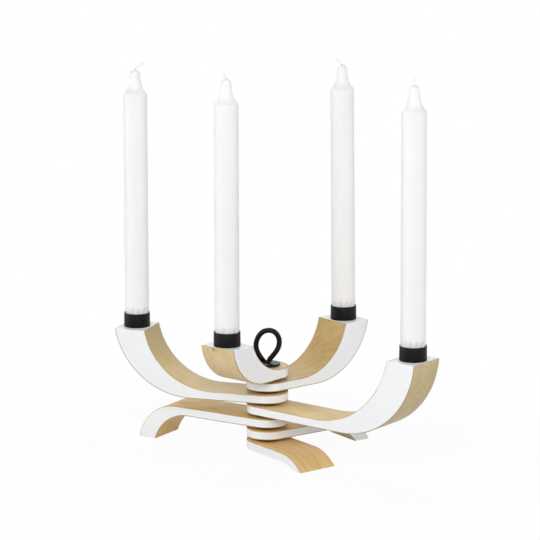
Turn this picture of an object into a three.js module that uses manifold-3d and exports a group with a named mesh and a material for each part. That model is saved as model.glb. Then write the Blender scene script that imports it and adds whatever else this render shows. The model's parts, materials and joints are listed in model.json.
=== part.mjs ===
// A swivelling bentwood candelabra. Four candle arms curve up and three legs curve down from
// one stack of rounded root ends, and a tie bolt with a thumb loop runs through them all.
// Every piece turns about the bolt, so the arms fan out as here or nest inside each other.
//
// Millimetres, +Z up. The table top is z = 0, and the origin is the middle of the part's
// bounding box on the table. Headings are in degrees, counter-clockwise from +X seen from above.

import * as THREE from 'three';
import { mergeVertices } from 'three/addons/utils/BufferGeometryUtils.js';
import Module from 'manifold-3d';

const wasm = await Module();
wasm.setup();

// The stack of boards, from the lowest up
const stackOrder = ['leg_3', 'leg_2', 'leg_1', 'arm_d', 'arm_c', 'arm_b', 'arm_a'];
const topBoard = 'arm_a';
const bottomBoard = 'leg_3';
const boardWidth = 37.6;
const rootThickness = 7.8;
const topRootThickness = 8.9;
const veneerThickness = 0.7;
const layerGap = 3.3;
const lowestUnderside = 4.1;

// Candle arms. reach is the candle's distance from the bolt, tipDepth is the wood's depth at
// the tip, and underBend and upperBend are the radii of the lower and the upper face.
const arms = {
  arm_a: {
    heading: -130.4,
    reach: 54.2,
    tipDepth: 26.4,
    tipHeight: 107.8,
    underBend: 43.5,
    upperBend: 42.3,
  },
  arm_b: {
    heading: 39.2,
    reach: 90.5,
    tipDepth: 27.6,
    tipHeight: 110.1,
    underBend: 62.5,
    upperBend: 53,
  },
  arm_c: {
    heading: 162.4,
    reach: 124.4,
    tipDepth: 28.6,
    tipHeight: 108.1,
    underBend: 72.5,
    upperBend: 63.5,
  },
  arm_d: {
    heading: -38.6,
    reach: 158.2,
    tipDepth: 28.6,
    tipHeight: 108.4,
    underBend: 77.5,
    upperBend: 78,
  },
};

// Legs. heel and toe are the foot's inner and outer edge on the table.
const legs = {
  leg_1: { heading: 148.1, heel: 110.4, toe: 128.3 },
  leg_2: { heading: 34.3, heel: 84.7, toe: 100.3 },
  leg_3: { heading: -53.4, heel: 62.6, toe: 74.2 },
};
const legUpperBend = 43;
const legUnderBend = 38;

// Tie bolt with its captive nut, and the spacer rings between the boards
const rodRadius = 2.35;
const rodClearance = 0.3;
const spacerRadius = 7;
const spacerEdge = 0.2;
const nutAcrossFlats = 8;
const nutSides = 6;
const nutThickness = 4;
const nutClearance = 0.3;

// Washer under the thumb loop, and the thin spacer ring between it and the top arm
const washerRadius = 11.7;
const washerThickness = 1.6;
const washerEdge = 0.4;
const topSpacerThickness = 0.7;
const tippedClearance = 0.1;

// Thumb loop. loopLine lists the points (across, up) that the rod's middle line bends through,
// from the bolt's axis at the washer's top. The free end comes down at the left of the foot,
// freeEndDepth behind it.
const loopLine = [
  [0, -2.3],
  [1.2, 0.2],
  [2.4, 3.2],
  [4.6, 5.9],
  [7.5, 9.6],
  [9.9, 14],
  [10.8, 19.2],
  [10.1, 23],
  [8.1, 26.5],
  [4.8, 28.9],
  [0.7, 29.5],
  [-3.2, 28.5],
  [-6.3, 26],
  [-8.4, 22.8],
  [-9.7, 19.3],
  [-10.1, 15.8],
  [-9.6, 12.1],
  [-8, 8.2],
  [-5.1, 3.7],
];
const freeEnd = [[-2.9, 0.1], [-1.6, -2]];
const freeEndDepth = 2.6;
const loopFootClearance = 0.5;

// Candle cups and the screws that hold them. screwLength is measured from the cup's underside.
const cupHeight = 12.7;
const cupFloor = 2.4;
const cupWall = 0.5;
const cupDraft = 0.2;
const cupRimEdge = 0.25;
const screwLength = 15;
const screwRadius = 1.7;
const screwPoint = 2;
const screwHeadRadius = 3.6;
const screwHeadDepth = 1.9;
const screwHeadEdge = 0.2;
const screwHeadSink = 0.1;
const screwSlotWidth = 0.9;
const screwSlotDepth = 0.4;
const screwClearance = 0.3;

// Candles: fluted at the foot, straight sided, and drawn in to a neck with a rounded tip
const candleRadius = 10.9;
const candleShoulderRadius = 10.55;
const candleNeckRadius = 4.3;
const candleLength = 231;
const shoulderToTip = 21.4;
const roundedTipHeight = 5;
const neckFlare = 5;
const tipSweep = 75;
const candleFootEdge = 0.5;
const fluteCount = 12;
const fluteDepth = 0.9;
const fluteAboveRim = 5;
const fluteRunOut = 2;
const candleClearance = 0.3;
const wickRadius = 0.7;
const wickDepth = 4;
const wickClearance = 0.3;

// How each candle stands: lean is its tilt towards +X in degrees, and wick lists the points
// (across, up) that its wick bends through above the wax.
const candles = {
  arm_a: { lean: 0.1, wick: [[-0.4, 1.6], [-2.3, 4.0], [-2.2, 6.0]] },
  arm_b: { lean: -0.6, wick: [[-0.6, 1.4], [-2.8, 3.2], [-5.4, 4.6]] },
  arm_c: { lean: 0.3, wick: [[0.7, 1.4], [4.4, 4.0], [8.7, 5.6]] },
  arm_d: { lean: -0.4, wick: [[0.1, 2.2], [0.2, 4.3], [0.1, 6.6]] },
};

// Facets, and how far a cut runs past the face that it opens
const bendSteps = 16;
const rootSteps = 16;
const holeSides = 12;
const ringSides = 30;
const rodSides = 10;
const loopSteps = 44;
const wickSides = 8;
const wickSteps = 9;
const facetsPerFlute = 3;
const neckSteps = 4;
const tipSteps = 3;
const neckCrowding = 1.5;
const cutMargin = 1;
const mergeDistance = 1e-4;

const degrees = THREE.MathUtils.degToRad;
const rootRadius = boardWidth / 2;
const holeRadius = rodRadius + rodClearance;
const nutCornerRadius = nutAcrossFlats / (2 * Math.cos(Math.PI / nutSides));
const rootTop = underside(topBoard) + topRootThickness;
const nutTop = underside(bottomBoard) + nutThickness + nutClearance;
const screwHeadTop = cupFloor - screwHeadSink;

const finishes = {
  lacquer: new THREE.MeshStandardMaterial({ color: 0xf2f2f0, roughness: 0.35, metalness: 0 }),
  birch: new THREE.MeshStandardMaterial({ color: 0xdcc191, roughness: 0.5, metalness: 0 }),
  blackSteel: new THREE.MeshStandardMaterial({ color: 0x1d1d1d, roughness: 0.5, metalness: 0.5 }),
  nylon: new THREE.MeshStandardMaterial({ color: 0x242424, roughness: 0.6, metalness: 0 }),
  steel: new THREE.MeshStandardMaterial({ color: 0xa8a8a8, roughness: 0.35, metalness: 1 }),
  wax: new THREE.MeshStandardMaterial({ color: 0xf6f5f2, roughness: 0.45, metalness: 0 }),
  cotton: new THREE.MeshStandardMaterial({ color: 0xebe8e0, roughness: 0.9, metalness: 0 }),
};

// A closed geometry as a solid that can be joined and cut.
function toSolid(geometry) {
  const bare = geometry.clone();
  bare.deleteAttribute('normal');
  bare.deleteAttribute('uv');
  const merged = mergeVertices(bare, mergeDistance);
  const triVerts = new Uint32Array(merged.index.array);
  const vertProperties = merged.attributes.position.array;
  return new wasm.Manifold(new wasm.Mesh({ numProp: 3, vertProperties, triVerts }));
}

function toGeometry(solid) {
  const { vertProperties, triVerts } = solid.getMesh();
  return meshGeometry(vertProperties, triVerts);
}

function meshGeometry(positions, index) {
  const geometry = new THREE.BufferGeometry();
  geometry.setAttribute('position', new THREE.BufferAttribute(new Float32Array(positions), 3));
  geometry.setIndex(new THREE.BufferAttribute(new Uint32Array(index), 1));
  geometry.computeVertexNormals();
  return geometry;
}

function named(name, geometry, finish) {
  const mesh = new THREE.Mesh(geometry, finish);
  mesh.name = name;
  return mesh;
}

// A profile of [radius, height] points turned about the Z axis.
function turned(points, sides) {
  const profile = points.map(([radius, height]) => new THREE.Vector2(radius, height));
  return new THREE.LatheGeometry(profile, sides).rotateX(Math.PI / 2);
}

// An upright prism over an outline of [x, y] points.
function prism(outline, bottom, top) {
  const shape = new THREE.Shape(outline.map(([x, y]) => new THREE.Vector2(x, y)));
  const geometry = new THREE.ExtrudeGeometry(shape, { depth: top - bottom, bevelEnabled: false });
  return geometry.translate(0, 0, bottom);
}

function circle(radius, sides) {
  return Array.from({ length: sides }, (_, i) => {
    const angle = (2 * Math.PI * i) / sides;
    return [radius * Math.cos(angle), radius * Math.sin(angle)];
  });
}

// A round or six-sided peg about the Z axis.
function peg(radius, sides, bottom, top) {
  return toSolid(prism(circle(radius, sides), bottom, top));
}

function tube(path, radius, sides, steps) {
  const section = new THREE.Shape(circle(radius, sides).map(([x, y]) => new THREE.Vector2(x, y)));
  return new THREE.ExtrudeGeometry(section, { steps, extrudePath: path, bevelEnabled: false });
}

// Height of the underside of a board's flat root.
function underside(board) {
  return lowestUnderside + stackOrder.indexOf(board) * (rootThickness + layerGap);
}

// One face of a bent board, seen from the side: flat at flatZ from behind the root to the
// bend, then an arc of the given radius that ends at [tip, endZ]. It bends up where endZ is
// above the flat and down where it is below. Where the rise is more than the radius, the arc
// is a quarter circle and the rest is straight.
function bentFace(flatZ, radius, tip, endZ) {
  const turn = Math.sign(endZ - flatZ);
  const rise = Math.min(Math.abs(endZ - flatZ), radius);
  const sweep = Math.acos(1 - rise / radius);
  const start = tip - radius * Math.sin(sweep);
  const points = [[-boardWidth, flatZ]];
  for (let i = 0; i <= bendSteps; i++) {
    const angle = (sweep * i) / bendSteps;
    const height = turn * radius * (1 - Math.cos(angle));
    points.push([start + radius * Math.sin(angle), flatZ + height]);
  }
  if (Math.abs(endZ - flatZ) > radius) points.push([tip, endZ]);
  return { points, start };
}

// The face at a depth under another one: the same centre of bend, at a changed radius.
function faceBelow(flatZ, radius, tip, endZ, depth) {
  const turn = Math.sign(endZ - flatZ);
  const { start } = bentFace(flatZ, radius, tip, endZ);
  const inner = radius + turn * depth;
  const rise = Math.min(Math.abs(endZ - flatZ) + turn * depth, inner);
  const innerTip = start + inner * Math.sin(Math.acos(1 - rise / inner));
  return bentFace(flatZ - depth, inner, innerTip, endZ);
}

// The four faces of a laminated board from the underside up: the outer sides of its two
// veneers, and between them the two faces of the core.
function boardFaces(board, endZ, under, upper) {
  const bottom = underside(board);
  const top = board === topBoard ? rootTop : bottom + rootThickness;
  return [
    bentFace(bottom, under.radius, under.tip, endZ),
    faceBelow(bottom, under.radius, under.tip, endZ, -veneerThickness),
    faceBelow(top, upper.radius, upper.tip, endZ, veneerThickness),
    bentFace(top, upper.radius, upper.tip, endZ),
  ];
}

// A board from above: a half circle about the bolt, then straight sides past the tip.
function boardOutline(length) {
  const outline = [];
  for (let i = 0; i <= rootSteps; i++) {
    const angle = Math.PI / 2 + (Math.PI * i) / rootSteps;
    outline.push([rootRadius * Math.cos(angle), rootRadius * Math.sin(angle)]);
  }
  return [...outline, [length, -rootRadius], [length, rootRadius]];
}

// The sheet of wood between two faces, rounded at the root end and bored.
function boardSheet(lower, upper, length, bores) {
  const outline = [...lower.points, ...upper.points.slice().reverse()];
  const highest = Math.max(...outline.map(([, z]) => z));
  const side = prism(outline, -boardWidth, boardWidth).rotateX(Math.PI / 2);
  const plan = prism(boardOutline(length), -cutMargin, highest + cutMargin);
  let sheet = toSolid(side).intersect(toSolid(plan));
  for (const bore of bores) sheet = sheet.subtract(bore);
  return toGeometry(sheet);
}

// One laminated board: a white core whose edges show, and a birch veneer on each bent face.
function laminatedBoard(name, faces, length, bores) {
  const group = new THREE.Group();
  const sheet = (lower, upper) => boardSheet(faces[lower], faces[upper], length, bores);
  group.add(named(`${name}_lower_veneer`, sheet(0, 1), finishes.birch));
  group.add(named(`${name}_core`, sheet(1, 2), finishes.lacquer));
  group.add(named(`${name}_upper_veneer`, sheet(2, 3), finishes.birch));
  return group;
}

const boltHole = peg(holeRadius, holeSides, 0, rootTop + rootThickness);

function armFaces(name) {
  const { reach, tipDepth, tipHeight, underBend, upperBend } = arms[name];
  const under = { radius: underBend, tip: reach + tipDepth / 2 };
  const upper = { radius: upperBend, tip: reach - tipDepth / 2 };
  return boardFaces(name, tipHeight, under, upper);
}

// arm_a carries cup_a, cup_screw_a, candle_a and wick_a, and so on.
function partner(kind, armName) {
  return armName.replace('arm', kind);
}

function candleArm(name, shapes) {
  const { heading, reach, tipHeight } = arms[name];
  const pilotDepth = screwLength + screwClearance;
  const pilotRadius = screwRadius + screwClearance;
  const pilot = peg(pilotRadius, holeSides, tipHeight - pilotDepth, tipHeight + cutMargin);
  const bores = [boltHole, pilot.translate([reach, 0, 0])];
  const board = laminatedBoard(name, armFaces(name), reach + boardWidth, bores);
  const cup = named(partner('cup', name), shapes.cup, finishes.blackSteel);
  const screw = named(partner('cup_screw', name), shapes.screw, finishes.steel);
  cup.position.set(reach, 0, tipHeight);
  screw.position.copy(cup.position);
  board.add(cup, screw);
  board.rotation.z = degrees(heading);
  return board;
}

function footLeg(name) {
  const { heading, heel, toe } = legs[name];
  const under = { radius: legUnderBend, tip: heel };
  const upper = { radius: legUpperBend, tip: toe };
  const bores = name === bottomBoard ? [boltHole, nutPocket()] : [boltHole];
  const board = laminatedBoard(name, boardFaces(name, 0, under, upper), toe + boardWidth, bores);
  if (name === bottomBoard) board.add(nut());
  board.rotation.z = degrees(heading);
  return board;
}

// The captive nut sits square in its pocket in the lowest leg, pulled against the pocket's roof.
function nutPocket() {
  return peg(nutCornerRadius + nutClearance, nutSides, 0, nutTop);
}

function nut() {
  const body = peg(nutCornerRadius, nutSides, nutTop - nutThickness, nutTop);
  return named('captive_nut', toGeometry(body.subtract(boltHole)), finishes.steel);
}

// A flat ring round the bolt, centred on its own middle, with its outer edges broken.
function flatRing(radius, thickness, edge, sides) {
  const half = thickness / 2;
  return turned([
    [holeRadius, -half],
    [radius - edge, -half],
    [radius, edge - half],
    [radius, half - edge],
    [radius - edge, half],
    [holeRadius, half],
    [holeRadius, -half],
  ], sides);
}

// The ring between a board and the next one up.
function spacer(board) {
  const place = stackOrder.indexOf(board) + 1;
  const ring = flatRing(spacerRadius, layerGap, spacerEdge, holeSides);
  const mesh = named(`spacer_${place}`, ring, finishes.nylon);
  mesh.position.z = underside(board) + rootThickness + layerGap / 2;
  return mesh;
}

// How far the top arm's upper face has risen at a distance from the bolt.
function riseAt(distance) {
  const { upperBend } = arms[topBoard];
  const { start } = armFaces(topBoard)[3];
  const past = Math.max(0, distance - start);
  return upperBend - Math.sqrt(upperBend ** 2 - past ** 2);
}

// The top spacer lies in the hollow of the top arm, with one side of its rim on the flat root
// and the other on the rising wood, so it is tipped, and the washer on it too.
const hollowRise = riseAt(spacerRadius);
const ringTilt = Math.atan(hollowRise / (2 * spacerRadius));
const hollowSeat = rootTop + hollowRise / 2 + tippedClearance;
const washerSeat = topSpacerThickness + tippedClearance;
const washerTop = hollowSeat + washerSeat + washerThickness;

function tippedRings() {
  const spacerRing = flatRing(spacerRadius, topSpacerThickness, spacerEdge, holeSides);
  const washerRing = flatRing(washerRadius, washerThickness, washerEdge, ringSides);
  const spacerMesh = named('loop_spacer', spacerRing, finishes.nylon);
  const washerMesh = named('loop_washer', washerRing, finishes.blackSteel);
  spacerMesh.position.z = topSpacerThickness / 2;
  washerMesh.position.z = washerSeat + washerThickness / 2;
  const group = new THREE.Group();
  for (const mesh of [spacerMesh, washerMesh]) {
    mesh.position.x = mesh.position.z * Math.tan(ringTilt);
    group.add(mesh);
  }
  group.position.z = hollowSeat;
  group.rotation.set(0, -ringTilt, degrees(arms[topBoard].heading), 'ZYX');
  return group;
}

// The rod swings to the right as it leaves the washer, goes round and comes back down on the
// left, where its end is cut off level beside its foot.
function loopPath() {
  const at = ([across, up], depth) => new THREE.Vector3(across, depth, washerTop + up);
  const points = [
    ...loopLine.map((point) => at(point, 0)),
    ...freeEnd.map((point) => at(point, freeEndDepth)),
  ];
  return new THREE.CatmullRomCurve3(points, false, 'centripetal');
}

function tieBolt() {
  const foot = washerTop + loopFootClearance;
  const span = 2 * Math.max(...loopLine.flat());
  const below = new THREE.BoxGeometry(span, span, span).translate(0, 0, foot - span / 2);
  const loop = toSolid(tube(loopPath(), rodRadius, rodSides, loopSteps)).subtract(toSolid(below));
  const shank = peg(rodRadius, rodSides, nutTop - nutThickness, foot + loopFootClearance);
  return named('tie_bolt_loop', toGeometry(shank.add(loop)), finishes.blackSteel);
}

// The cup tapers a little towards its rim, and its floor is bored and countersunk.
function cupGeometry() {
  const bore = candleRadius + candleClearance;
  const outer = bore + cupWall;
  const screwHole = screwRadius + screwClearance;
  const countersink = screwHeadRadius + screwClearance;
  return turned([
    [screwHole, 0],
    [outer + cupDraft, 0],
    [outer, cupHeight - cupRimEdge],
    [outer - cupRimEdge, cupHeight],
    [bore, cupHeight],
    [bore, cupFloor],
    [countersink, cupFloor],
    [countersink, screwHeadTop - screwHeadEdge],
    [screwHole, screwHeadTop - screwHeadDepth],
    [screwHole, 0],
  ], ringSides);
}

function screwGeometry() {
  const body = toSolid(turned([
    [0, -screwLength],
    [screwRadius, screwPoint - screwLength],
    [screwRadius, screwHeadTop - screwHeadDepth],
    [screwHeadRadius, screwHeadTop - screwHeadEdge],
    [screwHeadRadius, screwHeadTop],
    [0, screwHeadTop],
  ], holeSides));
  const slotLength = 2 * (screwHeadRadius + cutMargin);
  const slot = new THREE.BoxGeometry(slotLength, screwSlotWidth, 2 * screwSlotDepth);
  return toGeometry(body.subtract(toSolid(slot.translate(0, 0, screwHeadTop))));
}

// A closed skin over fluted rings that run from the foot to the top. The first facet corner
// of each flute is on its ridge and the others are in its groove.
function ringedBody(rings) {
  const sides = facetsPerFlute * fluteCount;
  const positions = [];
  const index = [];
  for (const { height, ridge, groove } of rings) {
    for (let i = 0; i < sides; i++) {
      const angle = (2 * Math.PI * i) / sides;
      const radius = i % facetsPerFlute ? groove : ridge;
      positions.push(radius * Math.cos(angle), radius * Math.sin(angle), height);
    }
  }
  const foot = sides * rings.length;
  const top = foot + 1;
  positions.push(0, 0, rings[0].height, 0, 0, rings.at(-1).height);
  for (let i = 0; i < sides; i++) {
    const next = (i + 1) % sides;
    for (let low = 0; low < foot - sides; low += sides) {
      const high = low + sides;
      index.push(low + i, low + next, high + next, low + i, high + next, high + i);
    }
    index.push(foot, next, i, top, foot - sides + i, foot - sides + next);
  }
  return meshGeometry(positions, index);
}

// The neck is drawn in as a hollow curve, whose rings crowd towards the shoulder, and the tip
// above it is tipSweep degrees of an ellipse.
function neckAndTip() {
  const shoulder = candleLength - shoulderToTip;
  const hollow = shoulderToTip - roundedTipHeight;
  const radiusAt = (up) =>
    candleNeckRadius + (candleShoulderRadius - candleNeckRadius) * Math.exp(-up / neckFlare);
  const rings = [];
  for (let i = 0; i <= neckSteps; i++) {
    const up = hollow * (i / neckSteps) ** neckCrowding;
    rings.push([shoulder + up, radiusAt(up)]);
  }
  const lastAngle = degrees(tipSweep);
  for (let i = 1; i <= tipSteps; i++) {
    const angle = (lastAngle * i) / tipSteps;
    const up = hollow + (roundedTipHeight * Math.sin(angle)) / Math.sin(lastAngle);
    rings.push([shoulder + up, radiusAt(hollow) * Math.cos(angle)]);
  }
  return rings.map(([height, radius]) => ({ height, ridge: radius, groove: radius }));
}

function candleGeometry() {
  const shoulder = candleLength - shoulderToTip;
  const archTop = cupHeight - cupFloor + fluteAboveRim;
  const fluted = (height, depth, inset = 0) => {
    const taper = ((candleRadius - candleShoulderRadius) * height) / shoulder;
    const ridge = candleRadius - taper - inset;
    return { height, ridge, groove: ridge - depth };
  };
  const body = ringedBody([
    fluted(0, fluteDepth, candleFootEdge),
    fluted(candleFootEdge, fluteDepth),
    fluted(archTop - fluteRunOut, fluteDepth),
    fluted(archTop, 0),
    ...neckAndTip(),
  ]);
  const wickHoleBottom = candleLength - wickDepth - wickClearance;
  const wickHoleTop = candleLength + cutMargin;
  const wickHole = peg(wickRadius + wickClearance, wickSides, wickHoleBottom, wickHoleTop);
  return toGeometry(toSolid(body).subtract(wickHole));
}

function wickGeometry(bend) {
  const at = (across, up) => new THREE.Vector3(across, 0, candleLength + up);
  const inWax = [at(0, -wickDepth), at(0, -wickDepth / 2), at(0, 0)];
  const points = [...inWax, ...bend.map(([across, up]) => at(across, up))];
  return tube(new THREE.CatmullRomCurve3(points), wickRadius, wickSides, wickSteps);
}

function candle(name, wax) {
  const { heading, reach, tipHeight } = arms[name];
  const { lean, wick } = candles[name];
  const group = new THREE.Group();
  group.add(named(partner('candle', name), wax, finishes.wax));
  group.add(named(partner('wick', name), wickGeometry(wick), finishes.cotton));
  group.position.set(reach, 0, tipHeight + cupFloor + candleClearance);
  group.position.applyAxisAngle(new THREE.Vector3(0, 0, 1), degrees(heading));
  group.rotation.y = degrees(lean);
  return group;
}

// The stack is built about the bolt and then moved so that its box is centred on the origin.
function candelabra() {
  const stack = new THREE.Group();
  const shapes = { cup: cupGeometry(), screw: screwGeometry(), wax: candleGeometry() };
  for (const name of Object.keys(legs)) stack.add(footLeg(name));
  for (const name of Object.keys(arms)) {
    stack.add(candleArm(name, shapes), candle(name, shapes.wax));
  }
  for (const board of stackOrder.slice(0, -1)) stack.add(spacer(board));
  stack.add(tippedRings(), tieBolt());

  const part = new THREE.Group();
  part.add(stack);
  const centre = new THREE.Box3().setFromObject(stack, true).getCenter(new THREE.Vector3());
  stack.position.set(-centre.x, -centre.y, 0);
  return part;
}

export default candelabra();
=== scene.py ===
# %% [markdown]
# # A bentwood candelabra
# Seven laminated boards are stacked by their rounded root ends on one tie bolt. Four bend up
# and carry candles, three bend down and stand on the table, and all can be swung round the
# bolt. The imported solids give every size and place. This lesson dresses each of them with a
# finer surface, modelled as one would by hand, and gives it the finish of the real thing.

# %% Load the frame
import json
import math

import bmesh
import bpy
from mathutils import Matrix, Vector

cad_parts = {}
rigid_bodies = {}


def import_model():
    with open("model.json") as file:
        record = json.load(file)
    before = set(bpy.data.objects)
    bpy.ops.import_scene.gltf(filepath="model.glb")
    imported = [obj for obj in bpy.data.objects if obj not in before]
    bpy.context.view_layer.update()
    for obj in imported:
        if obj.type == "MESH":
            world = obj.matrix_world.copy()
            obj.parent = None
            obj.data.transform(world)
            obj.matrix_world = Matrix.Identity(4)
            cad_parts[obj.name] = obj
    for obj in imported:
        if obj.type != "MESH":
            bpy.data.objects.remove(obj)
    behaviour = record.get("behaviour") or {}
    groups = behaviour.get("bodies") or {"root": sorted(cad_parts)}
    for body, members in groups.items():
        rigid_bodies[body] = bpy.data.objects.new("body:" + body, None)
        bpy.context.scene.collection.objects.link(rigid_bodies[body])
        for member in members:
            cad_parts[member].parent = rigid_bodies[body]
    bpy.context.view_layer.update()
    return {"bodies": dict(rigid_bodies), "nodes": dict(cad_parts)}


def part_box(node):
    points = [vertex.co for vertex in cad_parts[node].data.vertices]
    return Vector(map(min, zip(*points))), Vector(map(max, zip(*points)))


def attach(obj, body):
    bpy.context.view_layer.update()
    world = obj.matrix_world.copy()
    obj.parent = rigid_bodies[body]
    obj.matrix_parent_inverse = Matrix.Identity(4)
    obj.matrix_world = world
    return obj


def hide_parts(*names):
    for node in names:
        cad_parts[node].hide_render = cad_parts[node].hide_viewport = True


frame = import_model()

MM = 0.001
scene = bpy.context.scene
scene.view_settings.view_transform = "Standard"

# %% [markdown]
# ## Sizes
# A maker works from a cutting list. These are the sizes of the boards, in millimetres, and the
# bolt's place is read off the lowest spacer ring, which is centred on it. Writing them once
# keeps the dressed pieces on the solids that they stand for.

# %% The cutting list
STACK = ["leg_3", "leg_2", "leg_1", "arm_d", "arm_c", "arm_b", "arm_a"]
BOARD_WIDTH = 37.6
ROOT_THICKNESS = 7.8
TOP_ROOT_THICKNESS = 8.9
VENEER = 0.7
LAYER_GAP = 3.3
LOWEST_UNDERSIDE = 4.1
ROD_RADIUS = 2.35
HOLE_RADIUS = 2.65
SPACER_RADIUS = 7
NUT_BOTTOM, NUT_TOP, NUT_RADIUS, NUT_CLEARANCE = 4.4, 8.4, 8 / math.sqrt(3), 0.3
PILOT_RADIUS, PILOT_DEPTH = 2.0, 15.3

# heading, reach of the candle, depth of the tip, height of the tip, lower and upper bend
ARMS = {
    "arm_a": (-130.4, 54.2, 26.4, 107.8, 43.5, 42.3),
    "arm_b": (39.2, 90.5, 27.6, 110.1, 62.5, 53.0),
    "arm_c": (162.4, 124.4, 28.6, 108.1, 72.5, 63.5),
    "arm_d": (-38.6, 158.2, 28.6, 108.4, 77.5, 78.0),
}
# heading, heel and toe on the table
LEGS = {
    "leg_1": (148.1, 110.4, 128.3),
    "leg_2": (34.3, 84.7, 100.3),
    "leg_3": (-53.4, 62.6, 74.2),
}
LEG_BENDS = (38.0, 43.0)


def underside(board):
    """Height of the flat root's lower face."""
    return LOWEST_UNDERSIDE + STACK.index(board) * (ROOT_THICKNESS + LAYER_GAP)


ROOT_TOP = underside(STACK[-1]) + TOP_ROOT_THICKNESS
low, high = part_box("spacer_1")
BOLT = Vector(((low.x + high.x) / 2, (low.y + high.y) / 2, 0))
print("bolt stands at", [round(c / MM, 3) for c in BOLT], "mm")

# %% [markdown]
# ## Habits for modelling with operators
# An operator works on whatever is selected, so each piece starts from an empty selection.
# In edit mode, corners and edges are picked by where they are, which still works when a size
# changes. A drawing starts as a single corner that is extruded from place to place, as one
# would do with a pencil.

# %% Selecting, drawing and finishing
def clear_selection():
    if bpy.context.object and bpy.context.object.mode != "OBJECT":
        bpy.ops.object.mode_set(mode="OBJECT")
    bpy.ops.object.select_all(action="DESELECT")


def activate(obj):
    clear_selection()
    obj.select_set(True)
    bpy.context.view_layer.objects.active = obj


def edit(obj, action="DESELECT"):
    activate(obj)
    bpy.ops.object.mode_set(mode="EDIT")
    bpy.ops.mesh.select_all(action=action)


def pick(obj, kind, test):
    """Selects the corners, edges or faces of a mesh in edit mode that pass a test."""
    bpy.ops.mesh.select_mode(type={"verts": "VERT", "edges": "EDGE", "faces": "FACE"}[kind])
    bpy.ops.mesh.select_all(action="DESELECT")
    mesh = bmesh.from_edit_mesh(obj.data)
    found = [part for part in getattr(mesh, kind) if test(part)]
    for part in found:
        part.select_set(True)
    mesh.select_flush_mode()
    bmesh.update_edit_mesh(obj.data)
    return bool(found)


def start_drawing(name, point):
    """A new mesh in edit mode that holds one selected corner, at a point in millimetres."""
    clear_selection()
    bpy.ops.mesh.primitive_plane_add(size=MM, enter_editmode=True)
    obj = bpy.context.object
    obj.name = name
    bpy.ops.mesh.merge(type="CENTER")
    bpy.ops.mesh.select_mode(type="VERT")
    bpy.ops.mesh.select_all(action="SELECT")
    bpy.ops.transform.translate(value=Vector(point) * MM)
    return obj


def extrude(x, y, z):
    """Extrudes what is selected by a step in metres."""
    bpy.ops.mesh.extrude_region_move(TRANSFORM_OT_translate={"value": (x, y, z)})


def draw_line(here, there):
    extrude(*((Vector(there) - Vector(here)) * MM))


def select_all():
    bpy.ops.mesh.select_all(action="SELECT")


def close_up():
    """Turns every face outwards and leaves edit mode."""
    select_all()
    bpy.ops.mesh.normals_make_consistent(inside=False)
    bpy.ops.object.mode_set(mode="OBJECT")


def apply_place():
    """Puts the active piece's place and turn into its mesh."""
    bpy.ops.object.transform_apply(location=True, rotation=True, scale=True)


def change(item, settings):
    for key, value in settings.items():
        setattr(item, key, value)


def apply_modifier(obj, kind, **settings):
    activate(obj)
    modifier = obj.modifiers.new(kind.lower(), kind)
    change(modifier, settings)
    bpy.ops.object.modifier_apply(modifier=modifier.name)


def cut(obj, tool, operation="DIFFERENCE"):
    """Cuts away, keeps or adds what a second solid covers."""
    apply_modifier(obj, "BOOLEAN", operation=operation, solver="EXACT", object=tool)


def discard(*tools):
    clear_selection()
    for tool in tools:
        tool.select_set(True)
    bpy.ops.object.delete()


def finish_piece(obj, material, node, angle=30):
    """Puts the place into the mesh, shades it, and hands the piece to the frame."""
    activate(obj)
    apply_place()
    bpy.ops.object.shade_smooth_by_angle(angle=math.radians(angle))
    if len(obj.data.materials) < 2:
        obj.data.materials.clear()
        obj.data.materials.append(material)
    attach(obj, body_of(node))
    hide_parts(node)
    clear_selection()
    print(obj.name, "has", len(obj.data.polygons), "faces and rides with", body_of(node))


def body_of(node):
    return next(name for name, empty in frame["bodies"].items()
                if frame["nodes"][node].parent == empty)


print("helpers ready")

# %% [markdown]
# ## Camera
# The photograph was taken from a little above the candle cups with a long lens. A pinhole
# camera fitted to the boards and candles gives the place and the aim below. The aim is built
# from three small turns, the way a tripod head is set: swing, tilt, and a hair of roll.

# %% Set up the camera
CAMERA_DISTANCE = 1899.097
CAMERA_ELEVATION = math.radians(14.333)
AIM_HEIGHT = 60
SWING, TILT, ROLL = (math.radians(angle) for angle in (0.078, 3.163, -0.118))
LENS = 140.64


def turn_pair(first, second, angle):
    """Turns two square directions towards each other by an angle."""
    return (first * math.cos(angle) + second * math.sin(angle),
            second * math.cos(angle) - first * math.sin(angle))


ahead = Vector((0, math.cos(CAMERA_ELEVATION), -math.sin(CAMERA_ELEVATION)))
right = Vector((1, 0, 0))
above = right.cross(ahead)
ahead, right = turn_pair(ahead, right, SWING)
ahead, above = turn_pair(ahead, above, TILT)
right, above = turn_pair(right, above, ROLL)

lens_data = bpy.data.cameras.new("photo_camera")
lens_data.lens = LENS
lens_data.sensor_width = 36
lens_data.clip_end = 50
camera = bpy.data.objects.new("photo_camera", lens_data)
scene.collection.objects.link(camera)
place = Vector((0, -CAMERA_DISTANCE * math.cos(CAMERA_ELEVATION),
                CAMERA_DISTANCE * math.sin(CAMERA_ELEVATION) + AIM_HEIGHT)) * MM + BOLT
aim = Matrix((right, above, -ahead)).transposed().to_4x4()
camera.matrix_world = Matrix.Translation(place) @ aim
scene.camera = camera
print("camera at", [round(c, 3) for c in place])

# %% [markdown]
# ## Effects that several finishes share
# Satin lacquer, powder coat, nylon and wax are never quite even: they have a faint ripple and
# slightly patchy gloss. One node group makes both from noise, and its named inputs let each
# material set their size and its own gloss.

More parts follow.
